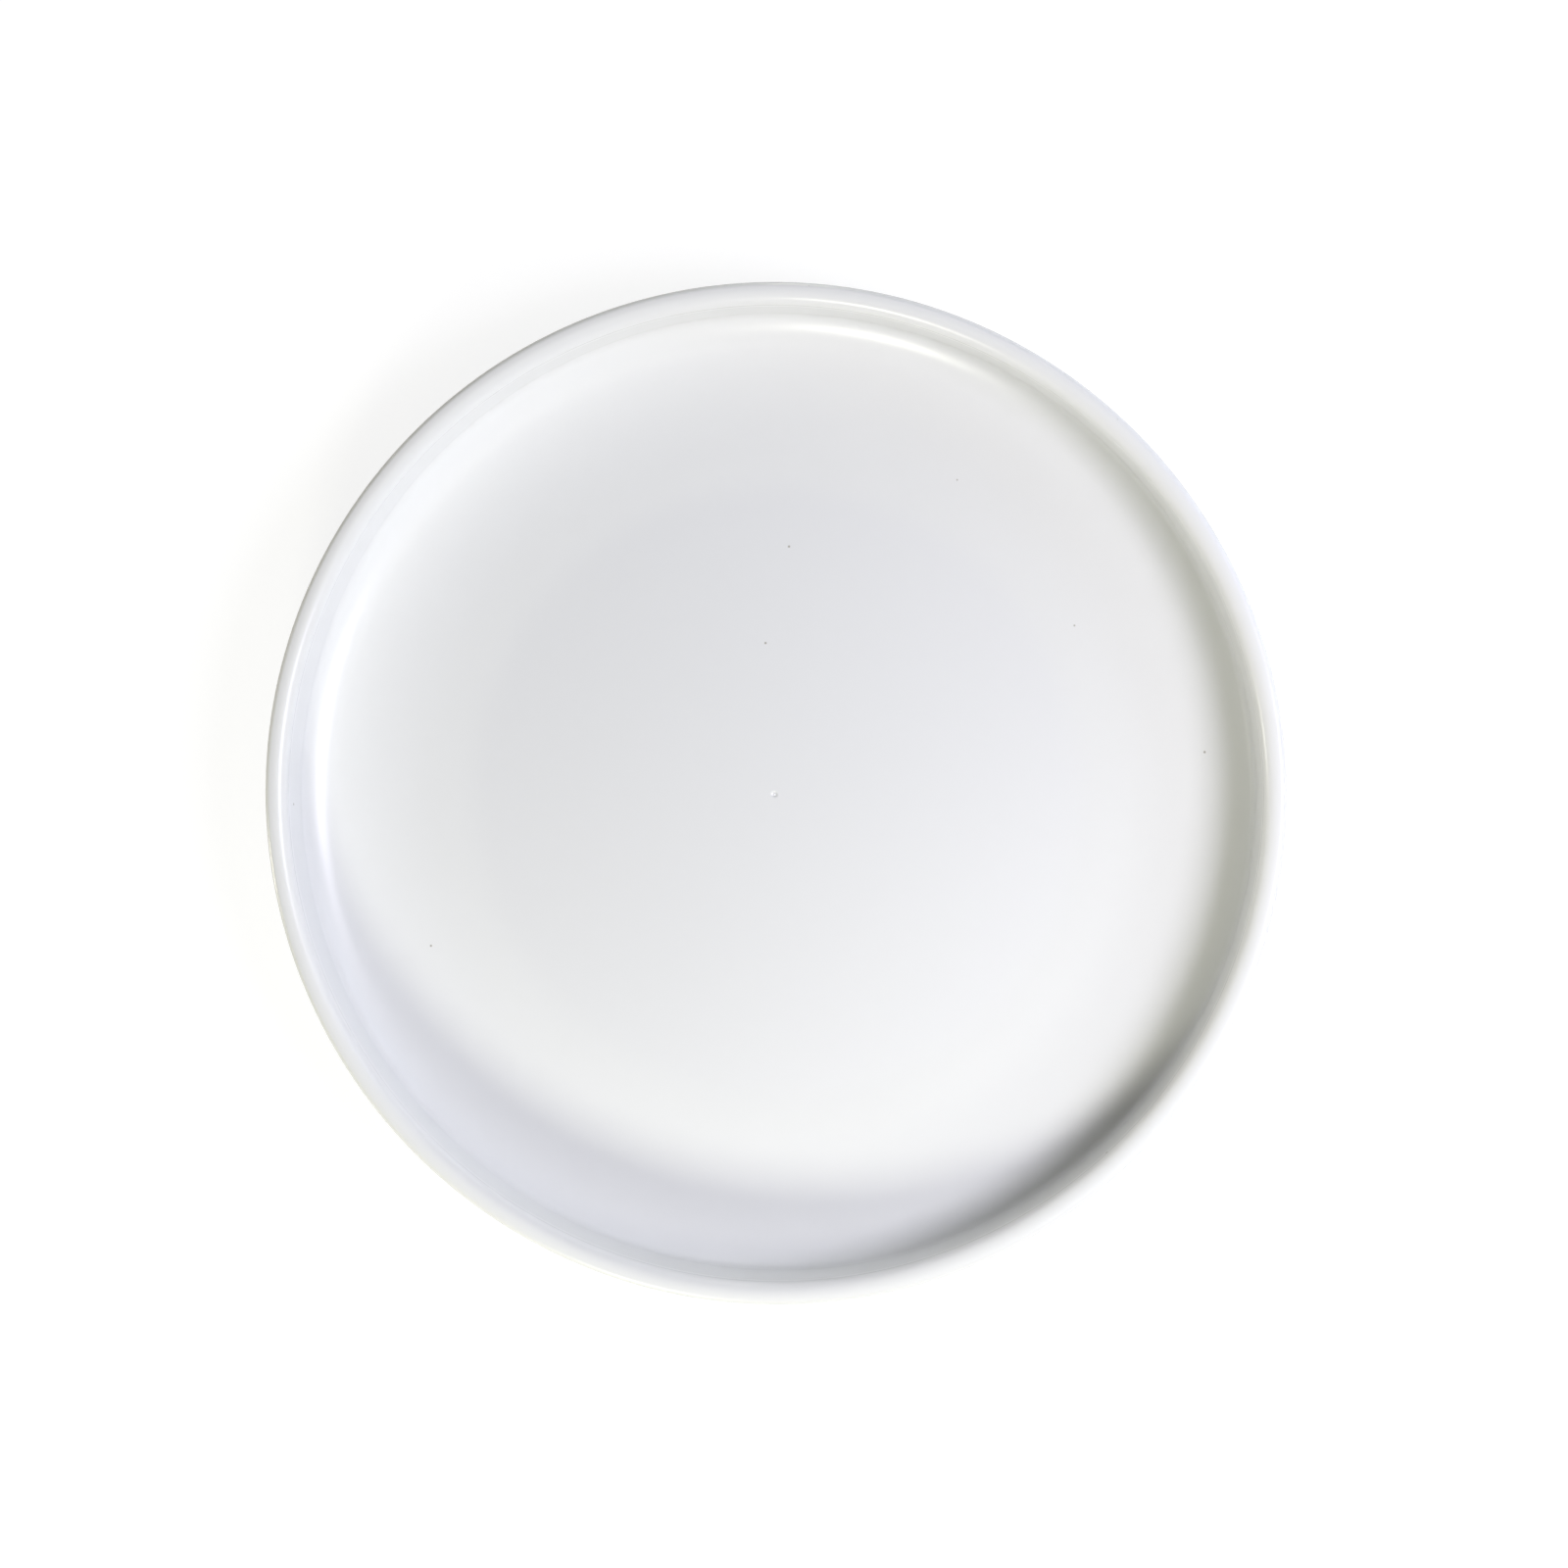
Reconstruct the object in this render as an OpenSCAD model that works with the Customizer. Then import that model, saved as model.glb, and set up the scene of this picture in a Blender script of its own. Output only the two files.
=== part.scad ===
// Shallow evaporating dish: one white shell of even thickness, turned about its axis.
// From the middle outwards it has a gate mark, a flat floor, a conical border, a sweep, a cove,
// a rounded crease, an upright collar and a rim that rounds off gently inside its crest and tightly
// outside it. It stands on a low foot ring.
// The origin is the centre of the foot's face, and +Z is up.

/* [Dish] */
// Diameter over the rim
rim_d = 150; // [135:1:190]
// Height from the table to the crest of the rim
dish_h = 18.2; // [14:0.1:40]
// Thickness of the shell, and so the width of the rim
wall_t = 3.2; // [2:0.1:5]
// Height of the rim's rounding inside the crest
lip_h = 1.8; // [0.8:0.1:4]
// Height of the rim's rounding outside the crest
brow_h = 1.2; // [0.4:0.1:4]
// Width of the rim's rounding outside the crest
brow_w = 0.9; // [0.4:0.1:1.6]
// Outward lean of the collar, in degrees
collar_draft = 1.5; // [0:0.5:8]

/* [Bowl] */
// Diameter of the flat floor
floor_d = 93; // [70:1:110]
// Rise of the conical border round the floor, in degrees
border_tilt = 2.5; // [0.5:0.5:5]
// Width of that border along its slope
border_w = 6; // [2:0.5:12]
// Height above the floor at which the cove would meet the collar in a sharp crease
crease_rise = 5; // [4:0.1:7]
// Radius that rounds the crease
crease_r = 2.2; // [0.5:0.1:3]
// Radius of the cove below the crease
cove_r = 9.5; // [6:0.5:12]
// Tilt that the cove would have at that sharp crease, in degrees
cove_tilt = 47; // [34:1:52]

/* [Foot ring] */
// Outer diameter of the foot's face
foot_d = 92; // [70:1:95]
// Width of the foot's face
foot_w = 3; // [1.5:0.5:8]
// Height of the foot below the floor
foot_h = 1.2; // [0.5:0.1:3]
// Draft of the foot's sides, in degrees
foot_draft = 12; // [2:1:25]

/* [Gate mark] */
// Diameter of the dimple in the middle of the floor
dimple_d = 1.3; // [0.9:0.1:4]
// Depth of the dimple
dimple_depth = 0.22; // [0.1:0.02:0.5]
// Diameter of the pip that the gate leaves in the dimple
pip_d = 0.5; // [0.3:0.05:0.8]
// Height of the pip
pip_h = 0.14; // [0.05:0.01:0.2]

/* [Hidden] */
$fn = 180;
// Farthest that a chord of the section may lie from its true arc
arc_sag = 0.003;
// Number of chords on either side of the rim's crest
rim_steps = 18;

// A point of the section is [distance from the axis, height]. A tilt is the angle of a surface above
// the level: the floor has a tilt of 0, an upright wall that faces the axis has 90, and a surface that
// looks down has 180 more.
function uphill(tilt) = [cos(tilt), sin(tilt)];
function outwards(tilt) = [sin(tilt), -cos(tilt)];

// Arc of surface from one tilt to another, without its first point
function arc(centre, radius, from, to) =
    let (chord_turn = 2 * acos(1 - arc_sag / radius), steps = ceil(abs(to - from) / chord_turn))
    [for (i = [1:steps]) centre + radius * outwards(from + (to - from) * i / steps)];

// Floor and border
floor_z = foot_h + wall_t;
floor_edge = [floor_d / 2, floor_z];
border_end = floor_edge + border_w * uphill(border_tilt);

// Rim, collar and the crease at the collar's foot
crest = [rim_d / 2 - brow_w, dish_h];
collar_tilt = 90 - collar_draft;
collar_top = [rim_d / 2 - wall_t, dish_h - lip_h];
crease_drop = collar_top.y - floor_z - crease_rise;
crease = collar_top - crease_drop * [tan(collar_draft), 1];

// The cove runs up to the crease, and the sweep is the one arc that leaves the border and runs into the
// cove with no corner at either end
cove_c = crease - cove_r * outwards(cove_tilt);
to_border = border_end - cove_c;
sweep_r = (to_border * to_border - cove_r ^ 2) / (2 * (to_border * outwards(border_tilt) - cove_r));
sweep_c = border_end - sweep_r * outwards(border_tilt);
sweep_tilt = atan2(cove_c.x - sweep_c.x, sweep_c.y - cove_c.y);

// The arc that rounds the crease touches the cove and the collar
to_cove = cove_c - crease + crease_r * outwards(collar_tilt);
round_rise = to_cove * uphill(collar_tilt)
    - sqrt((cove_r - crease_r) ^ 2 - (to_cove * outwards(collar_tilt)) ^ 2);
round_c = crease - crease_r * outwards(collar_tilt) + round_rise * uphill(collar_tilt);
round_tilt = atan2(round_c.x - cove_c.x, cove_c.y - round_c.y);

// Gate mark: a ball's print in the floor, with a pip in it
ball_r = (dimple_d ^ 2 / 4 + dimple_depth ^ 2) / (2 * dimple_depth);
ball_c = [0, floor_z - dimple_depth + ball_r];
pip_tilt = asin(pip_d / 2 / ball_r);
pip_foot = ball_c + ball_r * outwards(pip_tilt);
pip_z = floor_z - dimple_depth + pip_h;

inner_face = concat(
    [[0, pip_z], [pip_d / 2, pip_z], pip_foot],
    arc(ball_c, ball_r, pip_tilt, asin(dimple_d / 2 / ball_r)),
    [floor_edge, border_end],
    arc(sweep_c, sweep_r, border_tilt, sweep_tilt),
    arc(cove_c, cove_r, sweep_tilt, round_tilt),
    arc(round_c, crease_r, round_tilt, collar_tilt)
);

// A quarter of an ellipse from the top of the collar up to the crest, and another down to the outside
lip_w = crest.x - collar_top.x;
lip = [for (i = [0:rim_steps])
    let (turn = 90 * i / rim_steps) crest - [lip_w * cos(turn), lip_h * (1 - sin(turn))]];
brow = [for (i = [1:rim_steps])
    let (turn = 90 * i / rim_steps) crest + [brow_w * sin(turn), brow_h * (cos(turn) - 1)]];

// The outside is the inside moved out by the wall
outer_face = concat(
    [round_c + (crease_r + wall_t) * outwards(collar_tilt)],
    arc(round_c, crease_r + wall_t, collar_tilt, round_tilt),
    arc(cove_c, cove_r + wall_t, round_tilt, sweep_tilt),
    arc(sweep_c, sweep_r + wall_t, sweep_tilt, border_tilt),
    [floor_edge + wall_t * [tan(border_tilt / 2), -1], [0, foot_h]]
);

module foot_section() {
    // The foot runs on up into the floor, so that the two are one solid
    top = foot_h + wall_t / 2;
    flare = top * tan(foot_draft);
    translate([foot_d / 2 - foot_w, 0])
        polygon([[0, 0], [-flare, top], [foot_w + flare, top], [foot_w, 0]]);
}

module dish() {
    color("white") rotate_extrude() {
        polygon(concat(inner_face, lip, brow, outer_face));
        foot_section();
    }
}

dish();
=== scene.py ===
"""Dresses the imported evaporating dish: one shell of moulded white PTFE, shown on a pale table.

The shell is a section turned about the dish's axis. Sizes are in metres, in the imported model's frame:
the origin is the centre of the foot's face, +Z is up, and the picture's upper edge lies towards +Y.
"""

import math

import bpy
import numpy as np
from bpy.props import FloatProperty, FloatVectorProperty, PointerProperty
from mathutils import Matrix, Vector


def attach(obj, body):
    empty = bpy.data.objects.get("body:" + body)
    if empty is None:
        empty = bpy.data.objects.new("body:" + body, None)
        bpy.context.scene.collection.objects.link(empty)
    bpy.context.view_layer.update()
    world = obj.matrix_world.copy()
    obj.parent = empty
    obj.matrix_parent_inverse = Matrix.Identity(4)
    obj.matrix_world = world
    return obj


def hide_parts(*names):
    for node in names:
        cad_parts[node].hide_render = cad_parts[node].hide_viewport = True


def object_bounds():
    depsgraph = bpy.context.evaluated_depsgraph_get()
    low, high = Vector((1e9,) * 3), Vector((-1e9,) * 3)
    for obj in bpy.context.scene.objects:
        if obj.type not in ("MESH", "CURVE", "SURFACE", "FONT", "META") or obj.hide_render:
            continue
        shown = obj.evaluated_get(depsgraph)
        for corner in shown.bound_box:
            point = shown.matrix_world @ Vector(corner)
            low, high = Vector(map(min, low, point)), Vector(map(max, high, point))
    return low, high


bl_info = {
    "name": "Evaporating Dish",
    "version": (1, 0, 0),
    "blender": (4, 5, 0),
    "location": "3D View > Sidebar > Dish",
    "description": "Builds a shallow white evaporating dish and the table that it is shown on",
    "category": "Add Mesh",
}

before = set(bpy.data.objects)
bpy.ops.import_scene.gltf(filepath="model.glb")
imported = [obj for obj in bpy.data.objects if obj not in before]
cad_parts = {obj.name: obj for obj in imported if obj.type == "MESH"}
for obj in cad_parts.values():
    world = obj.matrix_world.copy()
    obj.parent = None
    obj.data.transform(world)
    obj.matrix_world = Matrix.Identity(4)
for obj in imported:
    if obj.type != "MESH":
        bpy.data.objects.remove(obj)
CAD_LOW, CAD_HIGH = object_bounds()
CAD_SIZE = CAD_HIGH - CAD_LOW

MM = 0.001

# Columns round the shell, and chords along the parts of its section
COLUMNS = 240
GATE_STEPS = 26
FLOOR_STEPS = 24
EDGE_STEPS = 8
BORDER_STEPS = 4
SWEEP_STEPS = 20
COVE_STEPS = 22
CREASE_STEPS = 14
COLLAR_STEPS = 40
RIM_STEPS = 24
WALL_STEPS = 10
BELLY_STEPS = 14
FOOT_STEPS = 6
BASE_STEPS = 16


def linear(hex_colour):
    """Linear RGB of an sRGB hex colour."""
    srgb = np.array([int(hex_colour[i : i + 2], 16) for i in (1, 3, 5)]) / 255
    return tuple(np.where(srgb <= 0.04045, srgb / 12.92, ((srgb + 0.055) / 1.055) ** 2.4).tolist())


def length(name, description, default):
    """Property for a size in metres."""
    return FloatProperty(name=name, description=description, default=default, unit="LENGTH", precision=5)


def angle(name, description, degrees):
    """Property for an angle, whose default is given in degrees."""
    return FloatProperty(
        name=name, description=description, default=math.radians(degrees), subtype="ANGLE", unit="ROTATION"
    )


def colour(name, description, default):
    """Property for a linear colour, whose default is an sRGB hex value."""
    return FloatVectorProperty(
        name=name, description=description, default=linear(default), subtype="COLOR", min=0, max=1
    )


def share(name, description, default):
    """Property for a plain number from 0 up."""
    return FloatProperty(name=name, description=description, default=default, min=0, subtype="FACTOR")


class DishSizes(bpy.types.PropertyGroup):
    """Sizes of the shell."""

    rim_d: length("Rim", "Diameter over the rim", CAD_SIZE.x)
    dish_h: length("Height", "From the table to the top of the rim", CAD_SIZE.z)
    wall_t: length("Wall", "Thickness of the shell, and so the width of the rim", 3.2 * MM)
    lip_h: length("Lip", "Height of the rim's rounding inside the crest", 1.8 * MM)
    brow_h: length("Brow height", "Height of the rim's rounding outside the crest", 1.2 * MM)
    brow_w: length("Brow width", "Width of the rim's rounding outside the crest", 0.9 * MM)
    collar_draft: angle("Collar draft", "Outward lean of the collar", 1.5)
    line_w: length("Collar line width", "Width of the tool line round the top of the collar", 0.9 * MM)
    line_depth: length("Collar line depth", "Depth of that tool line", 0.04 * MM)
    floor_d: length("Floor", "Diameter of the flat floor", 93 * MM)
    floor_ease: length("Floor edge", "Radius that softens the floor's edge", 66 * MM)
    border_tilt: angle("Border tilt", "Rise of the conical border round the floor", 2.5)
    border_w: length("Border width", "Width of that border along its slope", 6 * MM)
    crease_rise: length("Crease rise", "Height above the floor at which cove and collar would meet", 5 * MM)
    crease_r: length("Crease", "Radius that rounds the crease", 2.2 * MM)
    cove_r: length("Cove", "Radius of the cove below the crease", 9.5 * MM)
    cove_tilt: angle("Cove tilt", "Tilt that the cove would have where it would meet the collar", 47)
    foot_d: length("Foot", "Outer diameter of the foot's face", 92 * MM)
    foot_w: length("Foot width", "Width of the foot's face", 3 * MM)
    foot_h: length("Foot height", "Height of the foot below the floor", 1.2 * MM)
    foot_draft: angle("Foot draft", "Draft of the foot's sides", 12)
    foot_ease: length("Foot radius", "Radius of the foot's edges", 0.4 * MM)
    dimple_d: length("Dimple", "Diameter of the gate mark's dimple", 1.3 * MM)
    dimple_depth: length("Dimple depth", "Depth of the dimple", 0.22 * MM)
    pip_d: length("Pip", "Diameter of the pip that the gate leaves in the dimple", 0.5 * MM)
    pip_h: length("Pip height", "Height of the pip", 0.14 * MM)


class DishFinish(bpy.types.PropertyGroup):
    """Colours and roughness of the moulded shell."""

    white: colour("White", "Main colour of the plastic", "#F1F2F3")
    shade: colour("Mottling", "Slightly greyer white of the mottling", "#EFF0F1")
    # Painted shade: the floor inside the foot ring is made greyer, for light that comes up through the
    # plastic only outside the foot
    centre: colour("Floor", "Slightly greyer white of the floor inside the foot ring", "#EEEFF1")
    speck: colour("Speck", "Specks of grey powder moulded in", "#B6B3AC")
    roughness: share("Roughness", "Roughness of the satin skin", 0.24)


class StageLook(bpy.types.PropertyGroup):
    """Colours of the table and the light, and levels of the light.

    A level is the brightness that the lamp alone gives to level matt white.
    """

    floor: colour("Table", "Colour of the table", "#ECECEC")
    key: colour("Key light", "Colour of the lamp at the picture's lower edge", "#FFFFEE")
    key_level: share("Key level", "Level of the lamp at the picture's lower edge", 0.235)
    side: colour("Side light", "Colour of the lamp at the right", "#F6F4FF")
    side_level: share("Side level", "Level of the lamp at the right", 0.44)
    end_level: share("Side end level", "Level of the smaller lamp beside it, for a longer highlight", 0.09)
    cool: colour("Cool fill", "Colour of the soft lamp behind the right side", "#DAEAFF")
    cool_level: share("Cool level", "Level of the soft lamp behind the right side", 0.08)
    warm: colour("Warm fill", "Colour of the soft lamps above and at the back", "#FFFDEB")
    top_level: share("Top level", "Level of the soft lamp above", 0.127)
    back_level: share("Back level", "Level of the soft lamp at the back", 0.031)
    low: colour("Low fill", "Colour of the two lamps just above the table", "#FFFBEA")
    low_left_level: share("Low left level", "Level of the lamp just above the table at the left", 0.017)
    low_back_level: share("Low back level", "Level of the lamp just above the table at the back", 0.008)
    surround: colour("Surround", "Colour of the surrounding light", "#FFFFFF")
    surround_level: share("Surround level", "Level of the surrounding light", 0.008)


def heading(turn):
    """Unit step in the section's plane, as [away from the axis, up], at that angle above the level."""
    return np.array([math.cos(turn), math.sin(turn)])


def straight(start, end, steps):
    """Points spread evenly from start to end."""
    return np.linspace(start, end, steps + 1)


def bend(start, turn_from, turn_to, radius, steps):
    """Arc of a section from the start point, whose heading turns evenly from one angle to the other.

    The point moves by the radius times the change of (sine, minus cosine) of the heading, and by minus
    that where the path turns to the right.
    """
    turns = np.linspace(turn_from, turn_to, steps + 1)
    change = np.stack([np.sin(turns) - math.sin(turn_from), math.cos(turn_from) - np.cos(turns)], axis=1)
    return start + math.copysign(radius, turn_to - turn_from) * change


def eased(corner, turn_from, turn_to, radius, steps):
    """Arc that rounds a corner: it starts the radius times the tangent of half the turn before it."""
    back = radius * math.tan(abs(turn_to - turn_from) / 2)
    return bend(corner - back * heading(turn_from), turn_from, turn_to, radius, steps)


def bell(distance, reach):
    """Smooth hump that is 1 at distance 0 and falls on half a cosine wave to 0 at its reach."""
    return 0.5 + 0.5 * np.cos(np.pi * np.clip(distance / reach, -1, 1))


def dish_section(sizes):
    """Section of the shell, from the axis over the inside, the rim and the outside back to the axis.

    The wall keeps its thickness from the floor to the rim. The sweep is the one arc that leaves the
    border and runs into the cove with no corner at either end, the crease's arc touches both the cove
    and the collar, and the rim is a quarter of one ellipse inside its crest and of a smaller one outside.
    """
    floor_z = sizes.foot_h + sizes.wall_t
    collar_turn = math.pi / 2 - sizes.collar_draft
    up = heading(collar_turn)
    out = heading(collar_turn - math.pi / 2)

    # Rim, collar and crease
    crest = np.array([sizes.rim_d / 2 - sizes.brow_w, sizes.dish_h])
    collar_top = np.array([sizes.rim_d / 2 - sizes.wall_t, sizes.dish_h - sizes.lip_h])
    crease = collar_top - (collar_top[1] - floor_z - sizes.crease_rise) / up[1] * up

    # Floor edge, border, sweep and cove
    floor_edge = np.array([sizes.floor_d / 2, floor_z])
    border_end = floor_edge + sizes.border_w * heading(sizes.border_tilt)
    cove_c = crease - sizes.cove_r * heading(sizes.cove_tilt - math.pi / 2)
    gap = border_end - cove_c
    lead = gap @ heading(sizes.border_tilt - math.pi / 2)
    sweep_r = (gap @ gap - sizes.cove_r**2) / (2 * (lead - sizes.cove_r))
    sweep_c = border_end - sweep_r * heading(sizes.border_tilt - math.pi / 2)
    sweep_turn = math.atan2(cove_c[0] - sweep_c[0], sweep_c[1] - cove_c[1])

    # Centre of the arc that rounds the crease
    reach = cove_c - crease + sizes.crease_r * out
    rise = reach @ up - math.sqrt((sizes.cove_r - sizes.crease_r) ** 2 - (reach @ out) ** 2)
    round_c = crease - sizes.crease_r * out + rise * up
    round_turn = math.atan2(round_c[0] - cove_c[0], cove_c[1] - round_c[1])

    # Inside
    radii = np.linspace(0, sizes.dimple_d, GATE_STEPS + 1)
    dimple = sizes.dimple_depth * bell(radii, sizes.dimple_d / 2)
    pip = sizes.pip_h * bell(radii, sizes.pip_d / 2)
    gate = np.stack([radii, floor_z - dimple + pip], axis=1)
    edge = eased(floor_edge, 0, sizes.border_tilt, sizes.floor_ease, EDGE_STEPS)
    sweep = bend(border_end, sizes.border_tilt, sweep_turn, sweep_r, SWEEP_STEPS)
    cove = bend(sweep[-1], sweep_turn, round_turn, sizes.cove_r, COVE_STEPS)
    crease_round = bend(cove[-1], round_turn, collar_turn, sizes.crease_r, CREASE_STEPS)
    collar = straight(crease_round[-1], collar_top, COLLAR_STEPS)
    along = (collar_top - collar) @ up - sizes.line_w / 2
    collar += sizes.line_depth * bell(along, sizes.line_w / 2)[:, None] * out
    turns = np.linspace(0, math.pi / 2, RIM_STEPS + 1)
    lip_w = crest[0] - collar_top[0]
    lip = crest - np.stack([lip_w * np.cos(turns), sizes.lip_h * (1 - np.sin(turns))], axis=1)
    brow = crest + np.stack([sizes.brow_w * np.sin(turns), sizes.brow_h * (np.cos(turns) - 1)], axis=1)

    # Outside, which runs back towards the axis
    back = math.pi
    heel_r = sizes.crease_r + sizes.wall_t
    haunch_r = sizes.cove_r + sizes.wall_t
    belly_r = sweep_r + sizes.wall_t
    border_back = sizes.border_tilt - back
    heel = bend(round_c + heel_r * out, collar_turn - back, round_turn - back, heel_r, BELLY_STEPS)
    haunch = bend(heel[-1], round_turn - back, sweep_turn - back, haunch_r, BELLY_STEPS)
    belly = bend(haunch[-1], sweep_turn - back, border_back, belly_r, BELLY_STEPS)

    # Foot ring, with its four edges rounded
    flare = np.array([sizes.foot_h * math.tan(sizes.foot_draft), sizes.foot_h])
    foot_out = np.array([sizes.foot_d / 2, 0])
    foot_in = foot_out - [sizes.foot_w, 0]
    down = -math.pi / 2 - sizes.foot_draft
    rise_turn = sizes.foot_draft - 1.5 * math.pi
    foot = [
        eased(foot_out + flare, border_back, down, sizes.foot_ease, FOOT_STEPS),
        eased(foot_out, down, -back, sizes.foot_ease, FOOT_STEPS),
        eased(foot_in, -back, rise_turn, sizes.foot_ease, FOOT_STEPS),
        eased(foot_in + flare * [-1, 1], rise_turn, -back, sizes.foot_ease, FOOT_STEPS),
    ]

    section = np.concatenate(
        [
            gate,
            straight(gate[-1], edge[0], FLOOR_STEPS),
            edge,
            straight(edge[-1], border_end, BORDER_STEPS),
            sweep,
            cove,
            crease_round,
            collar,
            lip,
            brow,
            straight(brow[-1], heel[0], WALL_STEPS),
            heel,
            haunch,
            belly,
            straight(belly[-1], foot[0][0], BORDER_STEPS),
            *foot,
            straight(foot[3][-1], [0, sizes.foot_h], BASE_STEPS),
        ]
    )
    # Parts meet in one point, which stays once
    same_point = 1e-4 * MM
    fresh = np.linalg.norm(np.diff(section, axis=0), axis=1) > same_point
    return section[np.append(True, fresh)]


def turned_mesh(name, section):
    """Closed mesh of a section turned about the Z axis.

    Row i and column j give the point (r_i cos a_j, r_i sin a_j, z_i) for the section's points (r, z) and
    angles spread evenly round the circle. The first and last points lie on the axis and close the ends.
    """
    angles = np.linspace(0, 2 * np.pi, COLUMNS, endpoint=False)
    radii, heights = section[1:-1].T
    across = np.outer(radii, np.cos(angles))
    along = np.outer(radii, np.sin(angles))
    upwards = np.outer(heights, np.ones(COLUMNS))
    rings = np.stack([across, along, upwards], axis=-1)
    poles = np.array([[0, 0, section[0, 1]], [0, 0, section[-1, 1]]])
    points = np.concatenate([rings.reshape(-1, 3), poles])

    here = np.arange(radii.size * COLUMNS).reshape(-1, COLUMNS)
    beside = np.roll(here, -1, axis=1)
    quads = np.stack([here[:-1], here[1:], beside[1:], beside[:-1]], axis=-1).reshape(-1, 4)
    first = np.full(COLUMNS, here.size)
    last = first + 1
    caps = np.concatenate(
        [np.stack([first, here[0], beside[0]], axis=1), np.stack([here[-1], last, beside[-1]], axis=1)]
    )

    mesh = bpy.data.meshes.new(name)
    mesh.from_pydata(points.tolist(), [], quads.tolist() + caps.tolist())
    mesh.shade_smooth()
    return mesh


def add_node(tree, kind, inputs, **settings):
    """Adds a node with its settings. An input is a constant, or an output socket that is linked to it."""
    node = tree.nodes.new(kind)
    for name, value in settings.items():
        setattr(node, name, value)
    for key, value in inputs.items():
        if isinstance(value, bpy.types.NodeSocket):
            tree.links.new(value, node.inputs[key])
        else:
            node.inputs[key].default_value = value
    return node


def new_material(name):
    """Empty node material, with its tree."""
    material = bpy.data.materials.new(name)
    material.use_nodes = True
    material.node_tree.nodes.clear()
    return material, material.node_tree


def moulded_ptfe(look):
    """Moulded white PTFE: an opaque, slightly waxy white with a satin skin.

    The eye sees a soft highlight in the cove and along the rim, a faint mottling, a few grey specks of
    powder, fine tool lines round the side, and a duller face where the foot has rubbed on the bench. The
    floor inside the foot ring is painted a little greyer than the side: painted shade, for the light that
    comes up through the plastic outside the foot ring but not over it.
    """
    material, tree = new_material("moulded white PTFE")
    place = add_node(tree, "ShaderNodeTexCoord", {}).outputs["Object"]
    axes = add_node(tree, "ShaderNodeSeparateXYZ", {"Vector": place})
    radius = add_node(tree, "ShaderNodeVectorMath", {0: place, 1: (1, 1, 0)}, operation="MULTIPLY")
    radius = add_node(tree, "ShaderNodeVectorMath", {0: radius.outputs["Vector"]}, operation="LENGTH")

    # Mottles on the side, and painted shade: the floor inside the foot ring turns greyer between two
    # distances from the axis, for the light that comes up through the plastic only outside the foot
    mottle_w = 9 * MM
    painted_shade_start, painted_shade_full = 50 * MM, 43 * MM
    mottle = add_node(tree, "ShaderNodeTexNoise", {"Vector": place, "Scale": 1 / mottle_w, "Detail": 3.0})
    mottled = add_node(
        tree,
        "ShaderNodeMix",
        {"Factor": mottle.outputs["Fac"], "A": (*look.white, 1), "B": (*look.shade, 1)},
        data_type="RGBA",
    )
    # Mask of that painted shade, rising from the foot ring's edge inwards
    inside = add_node(
        tree,
        "ShaderNodeMapRange",
        {"Value": radius.outputs["Value"], "From Min": painted_shade_start, "From Max": painted_shade_full},
        interpolation_type="SMOOTHSTEP",
    )
    white = add_node(
        tree,
        "ShaderNodeMix",
        {"Factor": inside.outputs["Result"], "A": mottled.outputs[2], "B": (*look.centre, 1)},
        data_type="RGBA",
    )

    # Specks, one to a cell of the plastic, that fade out between two distances from their middles
    cell = 10 * MM
    speck_core, speck_edge = 0.1 * MM, 0.25 * MM
    speck = add_node(tree, "ShaderNodeTexVoronoi", {"Vector": place, "Scale": 1 / cell})
    spot = add_node(
        tree,
        "ShaderNodeMapRange",
        {"Value": speck.outputs["Distance"], "From Min": speck_edge / cell, "From Max": speck_core / cell},
        interpolation_type="SMOOTHSTEP",
    )
    skin = add_node(
        tree,
        "ShaderNodeMix",
        {"Factor": spot.outputs["Result"], "A": white.outputs[2], "B": (*look.speck, 1)},
        data_type="RGBA",
    )

    # Fine tool lines that follow the section up the side, and a slow ripple
    line_gap, line_depth = 0.35 * MM, 0.004 * MM
    ripple_w, ripple_depth = 5 * MM, 0.02 * MM
    along = add_node(
        tree,
        "ShaderNodeMath",
        {0: radius.outputs["Value"], 1: axes.outputs["Z"]},
        operation="ADD",
    )
    lines = add_node(
        tree,
        "ShaderNodeTexNoise",
        {"W": along.outputs["Value"], "Scale": 1 / line_gap, "Detail": 2.0},
        noise_dimensions="1D",
    )
    ripple = add_node(tree, "ShaderNodeTexNoise", {"Vector": place, "Scale": 1 / ripple_w, "Detail": 1.0})
    fine = add_node(
        tree,
        "ShaderNodeBump",
        {"Height": lines.outputs["Fac"], "Strength": 0.2, "Distance": line_depth},
    )
    relief = add_node(
        tree,
        "ShaderNodeBump",
        {
            "Height": ripple.outputs["Fac"],
            "Strength": 0.5,
            "Distance": ripple_depth,
            "Normal": fine.outputs["Normal"],
        },
    )

    # The foot is duller near the bench, where it rubs
    rub_h = 0.3 * MM
    dulled = look.roughness + 0.25
    rubbed = add_node(
        tree,
        "ShaderNodeMapRange",
        {
            "Value": axes.outputs["Z"],
            "From Min": 0.0,
            "From Max": rub_h,
            "To Min": dulled,
            "To Max": look.roughness,
        },
    )
    shader = add_node(
        tree,
        "ShaderNodeBsdfPrincipled",
        {
            "Base Color": skin.outputs[2],
            "Roughness": rubbed.outputs["Result"],
            "IOR": 1.38,
            "Normal": relief.outputs["Normal"],
        },
    )
    add_node(tree, "ShaderNodeOutputMaterial", {"Surface": shader.outputs["BSDF"]})
    return material


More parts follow.
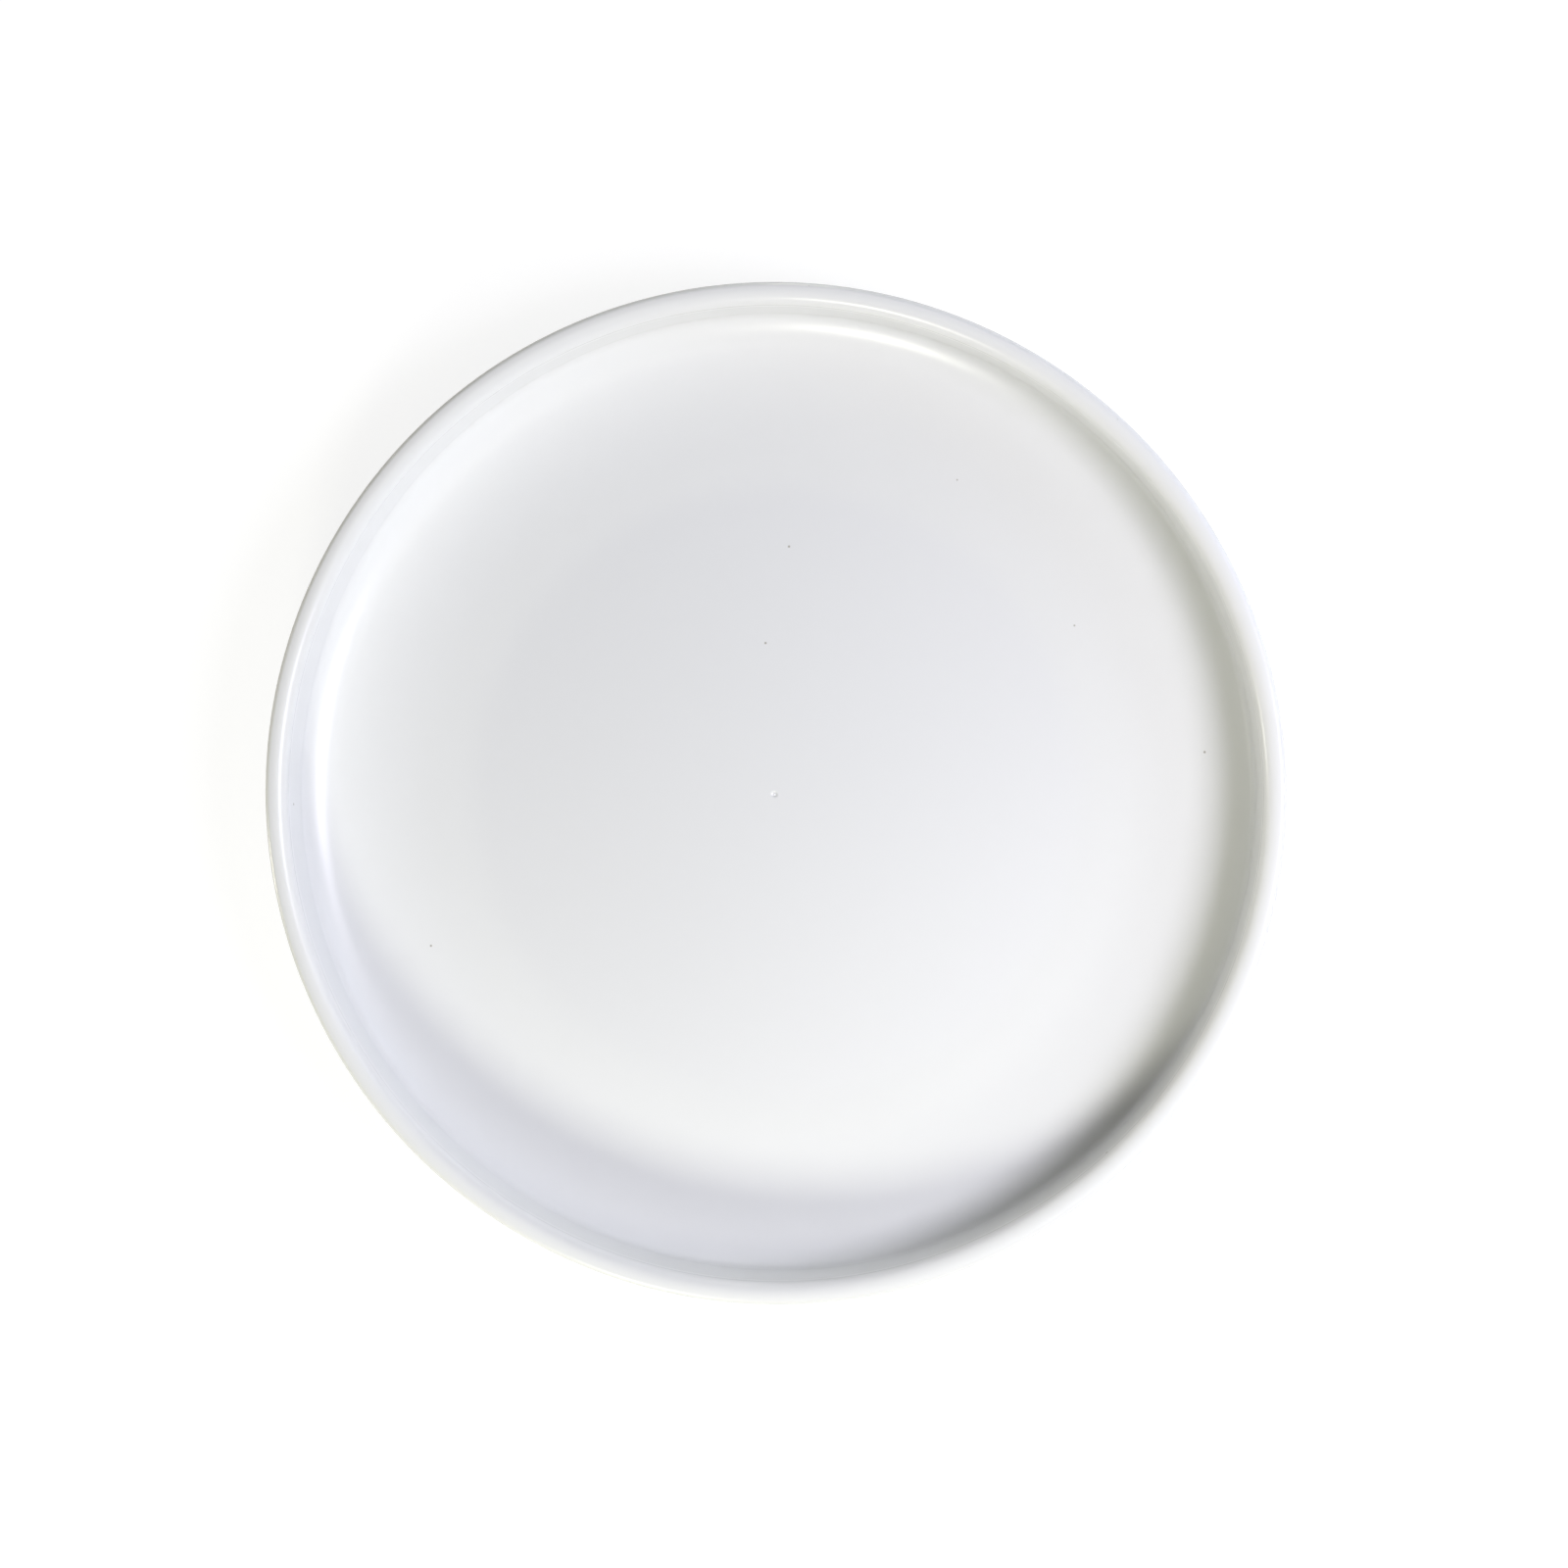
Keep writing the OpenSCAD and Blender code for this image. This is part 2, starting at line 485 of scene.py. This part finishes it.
def table_paper(look):
    """Matt white paper, which the camera sees as white with the dish's own faint shadow on it.

    The camera sees a glow and a share of the light that falls on the paper, which sets the shadow's
    depth. The glow rises to full white away from the dish, so that no edge of the table shows.
    """
    material, tree = new_material("matt white paper")
    path = add_node(tree, "ShaderNodeLightPath", {})
    seen = add_node(
        tree,
        "ShaderNodeMath",
        {0: path.outputs["Is Camera Ray"], 1: path.outputs["Is Glossy Ray"]},
        operation="MAXIMUM",
    )
    seen = add_node(
        tree,
        "ShaderNodeMath",
        {0: seen.outputs["Value"], 1: path.outputs["Is Transmission Ray"]},
        operation="MAXIMUM",
    )
    paper = add_node(tree, "ShaderNodeBsdfDiffuse", {"Color": (*look.floor, 1)})
    lit_share = 0.25
    faint = add_node(tree, "ShaderNodeBsdfDiffuse", {"Color": (lit_share, lit_share, lit_share, 1)})
    near, far = 100 * MM, 300 * MM
    near_glow, far_glow = 0.85, 1.0
    place = add_node(tree, "ShaderNodeTexCoord", {}).outputs["Object"]
    away = add_node(tree, "ShaderNodeVectorMath", {0: place}, operation="LENGTH")
    level = add_node(
        tree,
        "ShaderNodeMapRange",
        {
            "Value": away.outputs["Value"],
            "From Min": near,
            "From Max": far,
            "To Min": near_glow,
            "To Max": far_glow,
        },
        interpolation_type="SMOOTHSTEP",
    )
    glow = add_node(
        tree, "ShaderNodeEmission", {"Color": (1, 1, 1, 1), "Strength": level.outputs["Result"]}
    )
    shown = add_node(tree, "ShaderNodeAddShader", {0: faint.outputs["BSDF"], 1: glow.outputs["Emission"]})
    both = add_node(
        tree,
        "ShaderNodeMixShader",
        {0: seen.outputs["Value"], 1: paper.outputs["BSDF"], 2: shown.outputs["Shader"]},
    )
    add_node(tree, "ShaderNodeOutputMaterial", {"Surface": both.outputs["Shader"]})
    return material


def pale_surround(look):
    """World that lights evenly and that the camera sees as white."""
    world = bpy.data.worlds.new("pale surround")
    world.use_nodes = True
    tree = world.node_tree
    tree.nodes.clear()
    path = add_node(tree, "ShaderNodeLightPath", {})
    light = add_node(
        tree, "ShaderNodeBackground", {"Color": (*look.surround, 1), "Strength": look.surround_level}
    )
    white = add_node(tree, "ShaderNodeBackground", {"Color": (1, 1, 1, 1), "Strength": 1.0})
    both = add_node(
        tree,
        "ShaderNodeMixShader",
        {0: path.outputs["Is Camera Ray"], 1: light.outputs["Background"], 2: white.outputs["Background"]},
    )
    add_node(tree, "ShaderNodeOutputWorld", {"Surface": both.outputs["Shader"]})
    return world


def lamp(name, azimuth, elevation, distance, width, tint, level):
    """Round soft lamp that looks at the dish from that direction, given in degrees.

    A disc of power P at distance d gives level matt white the brightness P sin(elevation) / (pi d)**2.
    """
    flat, steep = math.radians(azimuth), math.radians(elevation)
    towards = Vector((math.cos(steep) * math.cos(flat), math.cos(steep) * math.sin(flat), math.sin(steep)))
    light = bpy.data.lights.new(name, "AREA")
    light.shape = "DISK"
    light.size = width
    light.color = tint
    light.energy = level * (math.pi * distance) ** 2 / math.sin(steep)
    body = bpy.data.objects.new(name, light)
    body.location = distance * towards
    body.rotation_euler = towards.to_track_quat("Z", "Y").to_euler()
    bpy.context.scene.collection.objects.link(body)


def overhead_camera(sizes):
    """Camera above the dish, a few degrees off its axis, with the picture's upper edge towards +Y.

    In the picture's frame of 1600 pixels the rim is 1045 pixels wide where it meets the brow's foot, and
    the aim puts its middle a little left of and below the frame's.
    """
    lens, sensor, frame_px, rim_px = 50.0, 36.0, 1600, 1045
    aim_right_px, aim_up_px = 16.2, 14.8
    lean, side = math.radians(5.2), math.radians(34)
    pixel = sizes.rim_d / rim_px
    reach = lens / sensor * frame_px * pixel
    rim_z = sizes.dish_h - sizes.brow_h
    towards = Vector((math.sin(lean) * math.cos(side), math.sin(lean) * math.sin(side), math.cos(lean)))
    aim = Vector((aim_right_px * pixel, aim_up_px * pixel, rim_z))
    back = (Vector((0, 0, rim_z)) + reach * towards - aim).normalized()
    right = Vector((0, 1, 0)).cross(back).normalized()
    camera = bpy.data.cameras.new("overhead camera")
    camera.lens = lens
    camera.sensor_width = sensor
    body = bpy.data.objects.new("overhead camera", camera)
    body.location = aim + reach * back
    body.rotation_euler = Matrix((right, back.cross(right), back)).transposed().to_euler()
    bpy.context.scene.collection.objects.link(body)
    return body


class DISH_OT_shell(bpy.types.Operator):
    """Make the dish's shell, which stands for the solid dish"""

    bl_idname = "dish.shell"
    bl_label = "Make Dish Shell"

    def execute(self, context):
        scene = context.scene
        mesh = turned_mesh("dish_shell", dish_section(scene.dish_sizes))
        shell = bpy.data.objects.new("dish_shell", mesh)
        shell.data.materials.append(moulded_ptfe(scene.dish_finish))
        scene.collection.objects.link(shell)
        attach(shell, "root")
        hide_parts("dish")
        return {"FINISHED"}


class DISH_OT_stage(bpy.types.Operator):
    """Make the table, the lamps, the surround and the camera"""

    bl_idname = "dish.stage"
    bl_label = "Make Stage"

    def execute(self, context):
        scene = context.scene
        look = scene.dish_stage
        half = 2.0
        mesh = bpy.data.meshes.new("table")
        corners = [(-half, -half, 0), (half, -half, 0), (half, half, 0), (-half, half, 0)]
        mesh.from_pydata(corners, [], [(0, 1, 2, 3)])
        mesh.materials.append(table_paper(look))
        table = bpy.data.objects.new("table", mesh)
        scene.collection.objects.link(table)

        # Name, azimuth and elevation in degrees, distance and width in metres, colour and level
        lamp("key lamp", 252, 36, 0.36, 0.08, look.key, look.key_level)
        lamp("side lamp", 348, 53, 0.4, 0.16, look.side, look.side_level)
        lamp("side end lamp", 8, 52, 0.4, 0.14, look.side, look.end_level)
        lamp("cool fill", 25, 25, 0.55, 0.3, look.cool, look.cool_level)
        lamp("top fill", 300, 70, 0.55, 0.3, look.warm, look.top_level)
        lamp("back fill", 100, 20, 0.55, 0.3, look.warm, look.back_level)
        lamp("low left fill", 190, 4, 0.5, 0.05, look.low, look.low_left_level)
        lamp("low back fill", 90, 4, 0.5, 0.05, look.low, look.low_back_level)
        scene.world = pale_surround(look)
        scene.camera = overhead_camera(scene.dish_sizes)
        scene.view_settings.view_transform = "Standard"
        return {"FINISHED"}


class DISH_PT_sidebar(bpy.types.Panel):
    """Sizes, finish and stage of the dish"""

    bl_idname = "DISH_PT_sidebar"
    bl_label = "Evaporating Dish"
    bl_space_type = "VIEW_3D"
    bl_region_type = "UI"
    bl_category = "Dish"

    def draw(self, context):
        layout = self.layout
        for group in (context.scene.dish_sizes, context.scene.dish_finish, context.scene.dish_stage):
            box = layout.box()
            for name in group.__annotations__:
                box.prop(group, name)
        layout.operator(DISH_OT_shell.bl_idname)
        layout.operator(DISH_OT_stage.bl_idname)


CLASSES = (DishSizes, DishFinish, StageLook, DISH_OT_shell, DISH_OT_stage, DISH_PT_sidebar)


def register():
    for cls in CLASSES:
        bpy.utils.register_class(cls)
    bpy.types.Scene.dish_sizes = PointerProperty(type=DishSizes)
    bpy.types.Scene.dish_finish = PointerProperty(type=DishFinish)
    bpy.types.Scene.dish_stage = PointerProperty(type=StageLook)


def unregister():
    del bpy.types.Scene.dish_sizes
    del bpy.types.Scene.dish_finish
    del bpy.types.Scene.dish_stage
    for cls in reversed(CLASSES):
        bpy.utils.unregister_class(cls)


def main():
    register()
    bpy.ops.dish.shell()
    bpy.ops.dish.stage()


if __name__ == "__main__":
    main()
